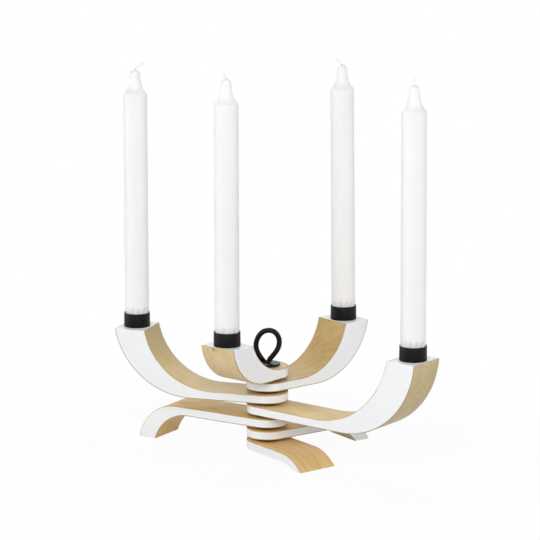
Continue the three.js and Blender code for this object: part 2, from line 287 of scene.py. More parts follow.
# %% Fine unevenness group
def new_group(name, inputs, outputs):
    """A node group, with the values that it is given and the sockets of its results."""
    group = bpy.data.node_groups.new(name, "ShaderNodeTree")
    for label, kind, value in inputs:
        socket = group.interface.new_socket(label, in_out="INPUT", socket_type=kind)
        if value is not None:
            socket.default_value = value
    for label, kind in outputs:
        group.interface.new_socket(label, in_out="OUTPUT", socket_type=kind)
    given, result = (group.nodes.new(f"NodeGroup{end}") for end in ("Input", "Output"))
    return group, given.outputs, result.inputs


def add_node(tree, kind, values=None, **settings):
    """A shader node with its settings and the values of its unlinked inputs."""
    node = tree.nodes.new(f"ShaderNode{kind}")
    change(node, settings)
    for key, value in (values or {}).items():
        node.inputs[key].default_value = value
    return node


def join(*pairs):
    for source, target in pairs:
        target.id_data.links.new(source, target)


def calc(operation, *values, clamp=False):
    """A sum of one or two values, which are plain numbers or outputs of other nodes."""
    tree = next(value.id_data for value in values if hasattr(value, "id_data"))
    node = add_node(tree, "Math", operation=operation, use_clamp=clamp)
    for socket, value in zip(node.inputs, values):
        if hasattr(value, "id_data"):
            join((value, socket))
        else:
            socket.default_value = value
    return node.outputs[0]


def part_of(value, amount):
    """How far a noise value lies from its middle, times an amount."""
    return calc("MULTIPLY", calc("SUBTRACT", value, 0.5), amount)


def faded(value, begin, finish, first, last):
    """A share that goes softly from first to last while a value goes from begin to finish."""
    node = add_node(value.id_data, "MapRange", {
        "From Min": begin, "From Max": finish, "To Min": first, "To Max": last},
        interpolation_type="SMOOTHSTEP")
    join((value, node.inputs["Value"]))
    return node.outputs["Result"]


def distance(vector, point=(0, 0, 0)):
    """How far a place in a pattern lies from a point."""
    node = add_node(vector.id_data, "VectorMath", {1: point}, operation="DISTANCE")
    join((vector, node.inputs[0]))
    return node.outputs["Value"]


FLOAT, VECTOR, COLOUR = "NodeSocketFloat", "NodeSocketVector", "NodeSocketColor"
uneven, given, result = new_group(
    "fine_unevenness",
    [("Vector", VECTOR, None), ("Ripples per metre", FLOAT, 400.0),
     ("Patches per metre", FLOAT, 40.0), ("Roughness", FLOAT, 0.4), ("Patchiness", FLOAT, 0.06)],
    [("Ripple", FLOAT), ("Patch", FLOAT), ("Roughness", FLOAT)])
ripple = add_node(uneven, "TexNoise", {"Detail": 3.0, "Roughness": 0.55})
patch = add_node(uneven, "TexNoise", {"Detail": 2.0, "Roughness": 0.5})
join((given["Vector"], ripple.inputs["Vector"]), (given["Vector"], patch.inputs["Vector"]),
     (given["Ripples per metre"], ripple.inputs["Scale"]),
     (given["Patches per metre"], patch.inputs["Scale"]))
rough = calc("ADD", given["Roughness"], part_of(patch.outputs["Fac"], given["Patchiness"]),
             clamp=True)
join((ripple.outputs["Fac"], result["Ripple"]), (patch.outputs["Fac"], result["Patch"]),
     (rough, result["Roughness"]))
print("group", uneven.name, "has", len(uneven.nodes), "nodes")

# %% [markdown]
# ## Birch grain
# The veneer is pale birch with its grain along the board. What shows is the cathedral figure,
# nested arches that a knife leaves as it cuts through the growth rings, with soft cloudy
# patches, long fine streaks and short brown flecks. The pattern is laid out on a UV map in
# metres, along and across the board, so that it follows the bend as real veneer does. The
# lines are first made to wander a little, because straight ones look printed. Moving the
# arches' middle off the board turns them into slanting lines, so one group serves all sheets.

# %% Birch grain group
WANDER = 0.022          # spread of the lines' wandering across the board, in metres
RING_WOBBLE = 2.2       # spread of their wandering along it, in rings
RING_TURN = 6.283       # the sine's turn from one ring to the next
RING_SHARPNESS = 3.0
PLAIN_TONE = 0.6        # share of the light wood where nothing darkens it
FLECK_LEVEL, FLECK_GAIN, FLECK_BROWN = 0.56, 9.0, (0.42, 0.24, 0.085)
SATIN, SATIN_SPREAD = 0.46, 0.15


def stretched(source, along, across, turn=0.0, **values):
    """Noise whose spots are longer one way, by cells per metre along and across the board."""
    tree = source.id_data
    mapping = add_node(tree, "Mapping", {
        "Scale": (along, across, 1.0), "Rotation": (0, 0, turn)})
    noise = add_node(tree, "TexNoise", {"Scale": 1.0, **values})
    join((source, mapping.inputs["Vector"]),
         (mapping.outputs["Vector"], noise.inputs["Vector"]))
    return noise.outputs["Fac"]


def mix_colours(factor, first, second):
    mix = add_node(factor.id_data, "Mix", data_type="RGBA")
    sockets = [socket for socket in mix.inputs if socket.type == "RGBA"]
    for socket, value in zip(sockets, (first, second)):
        if isinstance(value, tuple):
            socket.default_value = (*value, 1)
        else:
            join((value, socket))
    join((factor, mix.inputs["Factor"]))
    return next(socket for socket in mix.outputs if socket.type == "RGBA")


grain, given, result = new_group(
    "birch_grain",
    [("Vector", VECTOR, None), ("Light wood", COLOUR, (0.66, 0.52, 0.31, 1)),
     ("Dark wood", COLOUR, (0.47, 0.34, 0.16, 1)), ("Figure", FLOAT, 0.3),
     ("Rings per metre", FLOAT, 150.0), ("Arch", FLOAT, 80.0), ("Clouds", FLOAT, 0.8),
     ("Streaks", FLOAT, 0.3), ("Flecks", FLOAT, 0.2)],
    [("Color", COLOUR), ("Height", FLOAT), ("Roughness", FLOAT)])
wander = stretched(given["Vector"], 14.0, 16.0, Detail=1.0)
drift = add_node(grain, "CombineXYZ")
join((part_of(wander, WANDER), drift.inputs["Y"]))
bent = add_node(grain, "VectorMath", operation="ADD")
join((given["Vector"], bent.inputs[0]), (drift.outputs["Vector"], bent.inputs[1]))
lines = bent.outputs["Vector"]

parts = add_node(grain, "SeparateXYZ")
join((lines, parts.inputs[0]))
squared = calc("MULTIPLY", parts.outputs["Y"], parts.outputs["Y"])
rise = calc("MULTIPLY", squared, given["Arch"])
arch = calc("ADD", parts.outputs["X"], rise)
spread = calc("DIVIDE", RING_WOBBLE, given["Rings per metre"])
wobble = part_of(stretched(lines, 22.0, 60.0, Detail=2.0), spread)
arch = calc("ADD", arch, wobble)
count = calc("MULTIPLY", arch, given["Rings per metre"])
wave = calc("SINE", calc("MULTIPLY", count, RING_TURN))
ring = calc("POWER", calc("ADD", calc("MULTIPLY", wave, 0.5), 0.5), RING_SHARPNESS)
ring = calc("MULTIPLY", ring, given["Figure"])
cloud = stretched(lines, 45.0, 75.0, turn=math.radians(30), Detail=3.0, Roughness=0.55)
streak = stretched(lines, 22.0, 800.0, Detail=4.0, Roughness=0.6)
fleck = stretched(lines, 160.0, 1100.0, Detail=2.0, Roughness=0.5)
fleck = calc("MULTIPLY", calc("SUBTRACT", fleck, FLECK_LEVEL), FLECK_GAIN, clamp=True)

tone = calc("SUBTRACT", part_of(cloud, given["Clouds"]), ring)
tone = calc("ADD", tone, part_of(streak, given["Streaks"]))
tone = calc("ADD", tone, PLAIN_TONE, clamp=True)
wood = mix_colours(tone, given["Dark wood"], given["Light wood"])
fleck = calc("MULTIPLY", fleck, given["Flecks"])
wood = mix_colours(fleck, wood, FLECK_BROWN)
height = calc("SUBTRACT", streak, calc("MULTIPLY", fleck, 0.5))
rough = calc("ADD", part_of(streak, SATIN_SPREAD), SATIN)
join((wood, result["Color"]), (height, result["Height"]),
     (rough, result["Roughness"]))
print("group", grain.name, "has", len(grain.nodes), "nodes")

# %% [markdown]
# Along its rim each birch sheet is painted darker, as painted shade on the eased edges that turn
# away from the light. The distance to the rim comes from the same map: from the side edge along the
# board, and from the half circle behind the bolt. This mask is a group of its own, so every sheet
# can use it.

# %% Rim group
rim, given, result = new_group(
    "painted_rim_shade",
    [("UV", VECTOR, None), ("Half width", FLOAT, 0.0188), ("Reach", FLOAT, 0.0009)],
    [("Rim", FLOAT)])
parts = add_node(rim, "SeparateXYZ")
join((given["UV"], parts.inputs[0]))
behind = calc("MINIMUM", parts.outputs["X"], 0.0)
squares = calc("ADD", calc("MULTIPLY", behind, behind),
               calc("MULTIPLY", parts.outputs["Y"], parts.outputs["Y"]))
inside = calc("SUBTRACT", given["Half width"], calc("SQRT", squares))
share = calc("DIVIDE", inside, given["Reach"], clamp=True)
join((calc("SUBTRACT", 1.0, share), result["Rim"]))
print("group", rim.name, "has", len(rim.nodes), "nodes")

# %% [markdown]
# ## Materials
# Each finish is one shader. What is the same all over a surface is written on the shader
# itself, and the groups bring only what changes from place to place. Every birch sheet is cut
# from its own place in the pattern. Where a board carries the next one, the wood round the bolt is
# painted dark brown as painted shade in the gap, and one sheet has a knot.

# %% Birch, lacquer and black finishes
PALEST = 0.88
LIGHT_SHARES, DARK_SHARES = (1.12, 1.14, 1.18), (0.88, 0.79, 0.64)
# painted shade: how much darker the rim of a sheet is painted, and how strongly
RIM_SHADE_SHARES, RIM_SHADE_STRENGTH = (0.85, 0.68, 0.5), 0.75
# painted shade: how dark, and how strongly, a sheet is painted towards its tip
TIP_SHADE_SHARE, TIP_SHADE_STRENGTH = 0.55, 0.55
# painted shade: the dark brown ring round the bolt stands in for the shade in the gap under the
# next board
GAP_SHADE_REACH, GAP_SHADE_STRENGTH, GAP_SHADE_BROWN = (0.0085, 0.0145), 0.9, (0.045, 0.022, 0.009)
KNOT_RADIUS, KNOT_STRENGTH, KNOT_BROWN = 0.0022, 1.2, (0.33, 0.15, 0.07)
GRAIN_DEPTH = 0.00003
TONE_PLACES = (0.35, 0.65)


def new_material(name, **values):
    material = bpy.data.materials.new(name)
    material.use_nodes = True
    tree = material.node_tree
    shader = tree.nodes["Principled BSDF"]
    for key, value in values.items():
        shader.inputs[key.replace("_", " ")].default_value = value
    return material, tree, shader


def add_bump(shader, height, depth):
    bump = add_node(shader.id_data, "Bump", {"Distance": depth, "Strength": 1.0})
    join((height, bump.inputs["Height"]), (bump.outputs["Normal"], shader.inputs["Normal"]))


def birch_material(name, place, tone, figure=0.15, rings=14.0, arch=300.0, clouds=1.3,
                   streaks=0.7, flecks=0.12, knot=None, tip_shade=None, gap_shaded=False):
    """Birch from its own place in the sheet, a little lighter and darker than its tone."""
    material, tree, shader = new_material(name, Specular_IOR_Level=0.2)
    light, dark = (tuple(min(PALEST, channel * k) for channel, k in zip(tone, shares))
                   for shares in (LIGHT_SHARES, DARK_SHARES))
    rim_shade_colour = tuple(channel * k for channel, k in zip(dark, RIM_SHADE_SHARES))
    source = add_node(tree, "UVMap", uv_map="along_grain").outputs["UV"]
    mapping = add_node(tree, "Mapping", {"Location": place})
    edge = add_node(tree, "Group", node_tree=rim)
    group = add_node(tree, "Group", node_tree=grain, values={
        "Light wood": (*light, 1), "Dark wood": (*dark, 1), "Figure": figure,
        "Rings per metre": rings, "Arch": arch, "Clouds": clouds, "Streaks": streaks,
        "Flecks": flecks})
    # painted shade along the rim of the sheet
    rim_shade_share = calc("MULTIPLY", edge.outputs["Rim"], RIM_SHADE_STRENGTH)
    wood = mix_colours(rim_shade_share, group.outputs["Color"], rim_shade_colour)
    # painted shade: the sheet is painted darker towards its tip, as the shade that falls there
    if tip_shade:
        along = add_node(tree, "SeparateXYZ")
        join((source, along.inputs[0]))
        shade = faded(along.outputs["X"], *tip_shade, 0.0, TIP_SHADE_STRENGTH)
        wood = mix_colours(shade, wood, tuple(TIP_SHADE_SHARE * channel for channel in tone))
    # painted shade in the gap under the next board: the wood round the bolt is mixed towards dark
    # brown
    if gap_shaded:
        gap_shade = faded(distance(source), *GAP_SHADE_REACH, GAP_SHADE_STRENGTH, 0.0)
        wood = mix_colours(gap_shade, wood, GAP_SHADE_BROWN)
    if knot:
        far = calc("DIVIDE", distance(source, (*knot, 0)), KNOT_RADIUS)
        near = calc("SUBTRACT", 1.0, far, clamp=True)
        near = calc("MULTIPLY", near, KNOT_STRENGTH, clamp=True)
        wood = mix_colours(near, wood, KNOT_BROWN)
    join((source, mapping.inputs["Vector"]), (source, edge.inputs["UV"]),
         (mapping.outputs["Vector"], group.inputs["Vector"]), (wood, shader.inputs["Base Color"]),
         (group.outputs["Roughness"], shader.inputs["Roughness"]))
    add_bump(shader, group.outputs["Height"], GRAIN_DEPTH)
    return material


def smooth_material(name, light, dark, roughness, ripples, patches, depth, **values):
    """A coat whose colour drifts a little between two near tones."""
    material, tree, shader = new_material(name, **values)
    source = add_node(tree, "TexCoord")
    group = add_node(tree, "Group", node_tree=uneven, values={
        "Ripples per metre": ripples, "Patches per metre": patches, "Roughness": roughness})
    ramp = add_node(tree, "ValToRGB")
    for element, place, tone in zip(ramp.color_ramp.elements, TONE_PLACES, (dark, light)):
        element.position = place
        element.color = (*tone, 1)
    join((source.outputs["Object"], group.inputs["Vector"]),
         (group.outputs["Roughness"], shader.inputs["Roughness"]),
         (group.outputs["Patch"], ramp.inputs["Fac"]),
         (ramp.outputs["Color"], shader.inputs["Base Color"]))
    add_bump(shader, group.outputs["Ripple"], depth)
    return material


PALE, GOLDEN, SHEET_SHIFT, PLAIN_MIDDLE = (0.62, 0.49, 0.285), (0.69, 0.50, 0.21), 0.37, 0.012
# a sheet's tone, how far the arches' middle lies off the board, and what else is its own
SHEETS = {
    "arm_a_lower": ((0.67, 0.535, 0.315), -0.03, {
        "figure": 0.12, "rings": 80.0, "arch": 25.0, "flecks": 0.22, "knot": (0.0842, -0.0045)}),
    "arm_b_upper": ((0.53, 0.385, 0.17), 0.03, {"figure": 0.3, "rings": 90.0, "arch": 18.0}),
    # arm C's upper sheet is painted darker towards its tip, as painted shade
    "arm_c_upper": ((0.67, 0.53, 0.285), PLAIN_MIDDLE, {"tip_shade": (0.08, 0.13)}),
    "arm_d_lower": ((0.58, 0.475, 0.275), 0.004, {
        "figure": 0.32, "rings": 150.0, "arch": 90.0, "flecks": 0.05}),
    "arm_d_upper": ((0.74, 0.585, 0.31), PLAIN_MIDDLE, {}),
    "leg_1_upper": ((0.70, 0.495, 0.19), 0.01, {"flecks": 0.4, "clouds": 2.4}),
    "leg_3_upper": ((0.83, 0.58, 0.28), 0.025, {"figure": 0.28, "rings": 9.0, "flecks": 0.1}),
}
birch = {}
for i, sheet in enumerate(f"{board}_{side}" for board in STACK for side in ("lower", "upper")):
    plain = (PALE if sheet.startswith("arm") else GOLDEN, PLAIN_MIDDLE, {})
    tone, middle, figure = SHEETS.get(sheet, plain)
    # sheets that lie under another board get the painted gap shade round the bolt
    in_a_gap = sheet.endswith("upper") and sheet != "arm_a_upper"
    birch[sheet] = birch_material(f"birch_{sheet}", (SHEET_SHIFT * i, middle, 0), tone,
                                  gap_shaded=in_a_gap, **figure)
lacquer = smooth_material("white_lacquer", (0.87, 0.88, 0.895), (0.855, 0.865, 0.88), 0.36,
                          700.0, 30.0, 0.00002)
sawn_veneer = smooth_material("sawn_veneer", (0.70, 0.62, 0.48), (0.50, 0.37, 0.21), 0.5,
                              900.0, 70.0, 0.00002, Specular_IOR_Level=0.3)
# painted shade: a darker copy of the bare veneer edge, for the lower sheets' edges, where shade
# falls under each board
shade_painted_veneer = smooth_material("shade_painted_veneer", (0.43, 0.33, 0.20), (0.30, 0.22, 0.12), 0.5,
                                900.0, 70.0, 0.00002, Specular_IOR_Level=0.2)
black_coat = smooth_material("black_coat", (0.005, 0.005, 0.0047), (0.0035, 0.0035, 0.0032), 0.48,
                             2500.0, 60.0, 0.00004, Specular_IOR_Level=0.14)
black_gloss = smooth_material("black_gloss", (0.0085, 0.0085, 0.008), (0.006, 0.006, 0.0055), 0.3,
                              1500.0, 60.0, 0.00002, Specular_IOR_Level=0.13)
nylon = smooth_material("black_nylon", (0.010, 0.008, 0.007), (0.007, 0.006, 0.005), 0.6,
                        900.0, 80.0, 0.00003, Specular_IOR_Level=0.3)
wax = smooth_material("candle_wax", (0.885, 0.885, 0.882), (0.872, 0.872, 0.868), 0.45,
                      250.0, 25.0, 0.00002, Subsurface_Weight=0.6, Subsurface_Scale=0.006)
wax.node_tree.nodes["Principled BSDF"].inputs["Subsurface Radius"].default_value = (1.0, 0.95, 0.9)
cotton = smooth_material("wick_cotton", (0.95, 0.945, 0.935), (0.88, 0.875, 0.86), 0.9,
                         3500.0, 900.0, 0.00005)
steel = smooth_material("plated_steel", (0.62, 0.62, 0.61), (0.55, 0.55, 0.54), 0.32,
                        1500.0, 200.0, 0.00001, Metallic=1.0)
print(len(birch), "sheets of birch and", len(bpy.data.materials) - len(birch), "other finishes")

# %% [markdown]
# ## Cutters that all boards share
# From above every board has the same plan: a half circle about the bolt and straight sides.
# It is a cylinder, bisected at the bolt, whose flat side is pulled out past the longest tip.
# The bolt hole is drilled with one long rod. One template and one drill for every board keep
# the stack true, as they do on the bench.

# %% Plan outline and drill
BENCH_LOW, BENCH_HIGH = -20, 140
ROOT_RADIUS = BOARD_WIDTH / 2
PLAN_LENGTH = 260


def make_plan():
    clear_selection()
    bpy.ops.mesh.primitive_cylinder_add(
        vertices=160, radius=ROOT_RADIUS * MM, depth=(BENCH_HIGH - BENCH_LOW) * MM,
        enter_editmode=True)
    plan = bpy.context.object
    plan.name = "plan_outline"
    bpy.ops.transform.translate(value=(0, 0, (BENCH_HIGH + BENCH_LOW) / 2 * MM))
    select_all()
    bpy.ops.mesh.bisect(plane_co=(0, 0, 0), plane_no=(1, 0, 0), use_fill=True, clear_outer=True)
    pick(plan, "faces", lambda face: face.normal.x > 0.99)
    extrude(PLAN_LENGTH * MM, 0, 0)
    close_up()
    return plan


def make_drill(radius, bottom, top, x=0.0, sides=48):
    clear_selection()
    bpy.ops.mesh.primitive_cylinder_add(
        vertices=sides, radius=radius * MM, depth=(top - bottom) * MM,
        location=(x * MM, 0, (top + bottom) / 2 * MM))
    apply_place()
    return bpy.context.object


plan = make_plan()
bolt_drill = make_drill(HOLE_RADIUS, BENCH_LOW, BENCH_HIGH)
print("plan is", [round(d / MM, 1) for d in plan.dimensions], "mm")

# %% [markdown]
# ## Bent boards
# A real board is veneers and a core, glued in a curved press and cut to its plan. The core's
# edges are lacquered white, and the thin edges of the veneers stay bare. Each sheet is drawn
# from the side: a straight line for the flat root, an arc spun about the bend's centre for the
# lower face, and the same for the upper face. The drawing is filled, pulled across the width,
# and trimmed with the plan.

# %% Faces of a board, seen from the side
BEND_STEPS = 56


def bent_face(flat, radius, tip, end):
    """A flat and one arc, with where the arc starts and ends and how high its centre is."""
    turn = 1 if end > flat else -1
    sweep = math.acos(1 - abs(end - flat) / radius)
    start = tip - radius * math.sin(sweep)
    return {"flat": flat, "radius": radius, "turn": turn, "sweep": sweep, "start": start,
            "centre": flat + turn * radius, "tip": tip, "end": end}


def face_below(face, depth):
    """The face at a depth under another, round the same centre of bend."""
    flat = face["flat"] - depth
    radius = face["radius"] + face["turn"] * depth
    sweep = math.acos(1 - abs(face["end"] - flat) / radius)
    tip = face["start"] + radius * math.sin(sweep)
    return bent_face(flat, radius, tip, face["end"])


def board_faces(board):
    """The four faces from the underside up: outer and inner side of each veneer."""
    bottom = underside(board)
    top = ROOT_TOP if board == STACK[-1] else bottom + ROOT_THICKNESS
    if board in ARMS:
        _, reach, depth, end, under_bend, upper_bend = ARMS[board]
        under = bent_face(bottom, under_bend, reach + depth / 2, end)
        upper = bent_face(top, upper_bend, reach - depth / 2, end)
    else:
        _, heel, toe = LEGS[board]
        under = bent_face(bottom, LEG_BENDS[0], heel, 0)
        upper = bent_face(top, LEG_BENDS[1], toe, 0)
    return [under, face_below(under, -VENEER), face_below(upper, VENEER), upper]


def spin_corner(face, backwards=False):
    """Spins the selected corner along a face's arc, from its start to its tip or back."""
    centre = (face["start"] * MM, -BOARD_WIDTH * MM, face["centre"] * MM)
    way = -face["turn"] if backwards else face["turn"]
    bpy.ops.mesh.spin(steps=BEND_STEPS, angle=face["sweep"], center=centre, axis=(0, way, 0))


for board in STACK:
    under, _, _, upper = board_faces(board)
    print(board, "bends start at", round(under["start"], 1), "and", round(upper["start"], 1), "mm")

# %% Draw, pull and trim one sheet
def make_sheet(name, lower, upper):
    side = back = -BOARD_WIDTH
    obj = start_drawing(name, (back, side, lower["flat"]))
    draw_line((back, side, lower["flat"]), (lower["start"], side, lower["flat"]))
    spin_corner(lower)
    draw_line((lower["tip"], side, lower["end"]), (upper["tip"], side, upper["end"]))
    spin_corner(upper, backwards=True)
    draw_line((upper["start"], side, upper["flat"]), (back, side, upper["flat"]))
    select_all()
    bpy.ops.mesh.edge_face_add()
    extrude(0, 2 * BOARD_WIDTH * MM, 0)
    close_up()
    cut(obj, plan, "INTERSECT")
    cut(obj, bolt_drill)
    return obj


# %% [markdown]
# The sharp corners of a sawn board are eased with a stroke of sandpaper. Only the corners
# that show are bevelled: the rim of each veneer's outer side, and the ends of the core. The
# seam between veneer and core stays tight, because both were sawn and sanded together.

# %% Ease the corners and lay out the grain
EASE = 0.22
SHARP = math.radians(35)
CLOSE = 0.01
NEAR_HOLE = HOLE_RADIUS + 0.5
LACQUERED_EDGE = 0.02   # the lacquer goes right up to the lowest leg's underside


def distance_to_face(face, point):
    """How far a point (x, z) in millimetres lies from a board face."""
    x, z = point
    if x <= face["start"]:
        return abs(z - face["flat"])
    return abs(math.hypot(x - face["start"], z - face["centre"]) - face["radius"])


def ease_corners(obj, outer, end_height):
    """Bevels the rim of a sheet's outer face, if it has one, and the sides of its end."""
    edit(obj)

    def shows(edge):
        if len(edge.link_faces) != 2 or edge.calc_face_angle(0) < SHARP:
            return False
        points = [(v.co.x / MM, v.co.z / MM) for v in edge.verts]
        if all(math.hypot(v.co.x, v.co.y) / MM < NEAR_HOLE for v in edge.verts):
            return False
        on_rim = outer and all(distance_to_face(outer, p) < CLOSE for p in points)
        on_end = all(abs(p[1] - end_height) < CLOSE for p in points) and any(
            abs(abs(v.co.y) / MM - ROOT_RADIUS) < CLOSE for v in edge.verts)
        return on_rim or on_end

    if pick(obj, "edges", shows):
        bpy.ops.mesh.bevel(offset=EASE * MM, segments=3, affect="EDGES", clamp_overlap=True)
    bpy.ops.object.mode_set(mode="OBJECT")


def lay_out_grain(obj, face):
    """A UV map in metres: along the bend, and across the board."""
    layer = obj.data.uv_layers[0]
    layer.name = "along_grain"
    start, centre, radius = (face[key] * MM for key in ("start", "centre", "radius"))
    for loop in obj.data.loops:
        x, y, z = obj.data.vertices[loop.vertex_index].co
        along = x
        if x > start:
            along = start + radius * math.atan2(x - start, abs(centre - z))
        layer.data[loop.index].uv = (along, y)


def paint_sawn_edges(obj, outer, paint, bare=EASE):
    """Gives a sheet's sawn edges their finish, from a depth below its bent face."""
    obj.data.materials.append(paint)
    edit(obj)

    def sawn(face):
        middle = face.calc_center_median()
        if distance_to_face(outer, (middle.x / MM, middle.z / MM)) < bare:
            return False
        return math.hypot(middle.x, middle.y) / MM > NEAR_HOLE

    pick(obj, "faces", sawn)
    obj.active_material_index = 1
    bpy.ops.object.material_slot_assign()
    bpy.ops.object.mode_set(mode="OBJECT")


print("corner easing:", EASE, "mm")

# %% Make the seven boards
def turn_to(obj, heading):
    """Swings a finished shape round the bolt and takes it to the bolt's place."""
    activate(obj)
    obj.rotation_euler = (0, 0, math.radians(heading))
    obj.location = BOLT
    apply_place()


def drill_pilot(obj, board, end):
    """The hole in an arm's tip that the cup's screw holds in."""
    pilot = make_drill(PILOT_RADIUS, end - PILOT_DEPTH, end + 1, x=ARMS[board][1])
    cut(obj, pilot)
    discard(pilot)


def mill_pocket(obj):
    """The six-sided pocket for the nut, under the lowest leg."""
    pocket = make_drill(NUT_RADIUS + NUT_CLEARANCE, 0, NUT_TOP, sides=6)
    activate(pocket)
    bpy.ops.transform.rotate(value=math.radians(30), orient_axis="Z", center_override=(0, 0, 0))
    apply_place()
    cut(obj, pocket)
    discard(pocket)


def make_board(board):
    faces = board_faces(board)
    heading = ARMS[board][0] if board in ARMS else LEGS[board][0]
    end = faces[0]["end"]
    sheets = [("lower_veneer", "lower_birch", faces[0], faces[1], faces[0]),
              ("core", "white_core", faces[1], faces[2], None),
              ("upper_veneer", "upper_birch", faces[2], faces[3], faces[3])]
    for node_part, piece_part, lower, upper, outer in sheets:
        obj = make_sheet(f"{board}_{piece_part}", lower, upper)
        if board in ARMS:
            drill_pilot(obj, board, end)
        if board == STACK[0]:
            mill_pocket(obj)
        ease_corners(obj, outer, end)
        finish, slot = lacquer, "white_lacquer"
        obj.data.materials.clear()
        if outer:
            lay_out_grain(obj, outer)
            finish, slot = birch[f"{board}_{piece_part.split('_')[0]}"], "birch_veneer"
            obj.data.materials.append(finish)
            if outer == faces[3]:
                paint_sawn_edges(obj, outer, sawn_veneer)
            elif board == STACK[0]:
                paint_sawn_edges(obj, outer, lacquer, LACQUERED_EDGE)
            else:
                # the lower veneers' edges get the darker, shade-painted copy of the veneer edge
                # colour
                paint_sawn_edges(obj, outer, shade_painted_veneer)
        turn_to(obj, heading)
        finish_piece(obj, finish, f"{board}_{node_part}")


for board in STACK:
    make_board(board)

# %% [markdown]
# ## Turned pieces
# Cups, washers and spacer rings are turned on a lathe. The half section is drawn once, corner by
# corner, and spun a full turn about its axis. The doubled seam is merged and the normals are
# recalculated, because a spun shape can come out inside out. A small bevel then catches the
# light along each edge.

# %% Spin a half section
def spin_section(name, points, steps, bevel=0.0, segments=2):
    """Turns a half section, listed as (radius, height) corners, about the Z axis."""
    obj = start_drawing(name, (points[0][0], 0, points[0][1]))
    for here, there in zip(points, points[1:]):
        draw_line((here[0], 0, here[1]), (there[0], 0, there[1]))
    select_all()
    bpy.ops.mesh.spin(steps=steps, angle=2 * math.pi, center=(0, 0, 0), axis=(0, 0, 1))
    select_all()
    bpy.ops.mesh.remove_doubles(threshold=1e-6)
    close_up()
    if bevel:
        apply_modifier(obj, "BEVEL", width=bevel * MM, segments=segments, limit_method="ANGLE",
                       angle_limit=math.radians(40))
    return obj


def ring_section(radius, bottom, thickness):
    """The half section of a flat ring with the bolt hole in it."""
    top = bottom + thickness
    return [(HOLE_RADIUS, bottom), (radius, bottom), (radius, top), (HOLE_RADIUS, top),
            (HOLE_RADIUS, bottom)]


def place_on_tip(obj, board, height=0.0, lean=0.0):
    heading, reach, _, tip = ARMS[board][:4]
    activate(obj)
    turned = Matrix.Rotation(math.radians(heading), 4, "Z") @ Vector((reach * MM, 0, 0))
    obj.location = turned + BOLT + Vector((0, 0, (tip + height) * MM))
    obj.rotation_euler = (0, math.radians(lean), 0)
    apply_place()


def copy_to_tips(pattern, name, material, node, height=0.0, leans=None, angle=30):
    """Puts a copy with its own mesh on every arm's tip, and takes the pattern away."""
    for board in ARMS:
        activate(pattern)
        bpy.ops.object.duplicate(linked=False)
        twin = bpy.context.object
        twin.name = f"{name}_{board[-1]}"
        place_on_tip(twin, board, height, leans[board] if leans else 0.0)
        finish_piece(twin, material, f"{node}_{board[-1]}", angle)
    discard(pattern)


# %% Candle cups
CUP_HEIGHT, CUP_FLOOR, CUP_BORE, CUP_OUTER, CUP_FLARE = 12.7, 2.4, 11.2, 11.7, 0.2
SCREW_HOLE, SCREW_HEAD = (2.0, 0.4), (3.9, 2.1)   # radius and height of the countersink
cup_pattern = spin_section("cup_pattern", [
    (SCREW_HOLE[0], 0), (CUP_OUTER + CUP_FLARE, 0), (CUP_OUTER, CUP_HEIGHT),
    (CUP_BORE, CUP_HEIGHT), (CUP_BORE, CUP_FLOOR), (SCREW_HEAD[0], CUP_FLOOR), SCREW_HEAD,
    SCREW_HOLE, (SCREW_HOLE[0], 0)], steps=128, bevel=0.16)
copy_to_tips(cup_pattern, "turned_cup", black_coat, "cup")

# %% Spacer rings between the boards
for index, board in enumerate(STACK[:-1]):
    bottom = underside(board) + ROOT_THICKNESS
    ring = spin_section(f"nylon_ring_{index + 1}", ring_section(SPACER_RADIUS, bottom, LAYER_GAP),
                        steps=72, bevel=0.2)
    ring.location = BOLT
    finish_piece(ring, nylon, f"spacer_{index + 1}")

# %% [markdown]
# ## Washer and top spacer
# Both lie in the hollow where the top arm starts to rise, so they are tipped a little. They
# are turned flat, like the rest, and then leaned about the hollow's middle.

# %% Tipped rings
WASHER_RADIUS, WASHER_THICKNESS, TOP_SPACER, TIPPED_CLEARANCE = 11.7, 1.6, 0.7, 0.1
hollow = board_faces("arm_a")[3]
in_bend = max(0, SPACER_RADIUS - hollow["start"])
rise = hollow["radius"] - math.sqrt(hollow["radius"] ** 2 - in_bend ** 2)
RING_TILT = math.atan(rise / (2 * SPACER_RADIUS))
HOLLOW_SEAT = ROOT_TOP + rise / 2 + TIPPED_CLEARANCE
WASHER_TOP = HOLLOW_SEAT + TOP_SPACER + TIPPED_CLEARANCE + WASHER_THICKNESS


def tipped_ring(name, radius, bottom, thickness, bevel, material, node):
    ring = spin_section(name, ring_section(radius, bottom, thickness), steps=128, bevel=bevel,
                        segments=3)
    middle = bottom + thickness / 2
    heading = Matrix.Rotation(math.radians(ARMS["arm_a"][0]), 4, "Z")
    lean = Matrix.Rotation(-RING_TILT, 4, "Y")
    slide = Matrix.Translation((middle * math.tan(RING_TILT) * MM, 0, 0))
    seat = Matrix.Translation(BOLT + Vector((0, 0, HOLLOW_SEAT * MM)))
    ring.matrix_world = seat @ heading @ lean @ slide
    finish_piece(ring, material, node)


tipped_ring("nylon_ring_top", SPACER_RADIUS, 0, TOP_SPACER, 0.15, nylon, "loop_spacer")
tipped_ring("black_washer", WASHER_RADIUS, TOP_SPACER + TIPPED_CLEARANCE, WASHER_THICKNESS, 0.45,
            black_gloss, "loop_washer")
print("washer top is", round(WASHER_TOP, 2), "mm up,", round(math.degrees(RING_TILT), 2),
      "degrees off level")

# %% [markdown]
# ## Thumb loop and tie bolt
# The bolt is one black rod: its upper end swings out to the right, goes round, and comes back
# down to meet itself. A curve with a round bevel keeps the section round in every bend. The
# curve becomes a mesh, its ends are cut off level just above the washer, and the straight shank
# is added. A fine voxel remesh then melts the joint into one skin, as the paint does on the
# real rod.

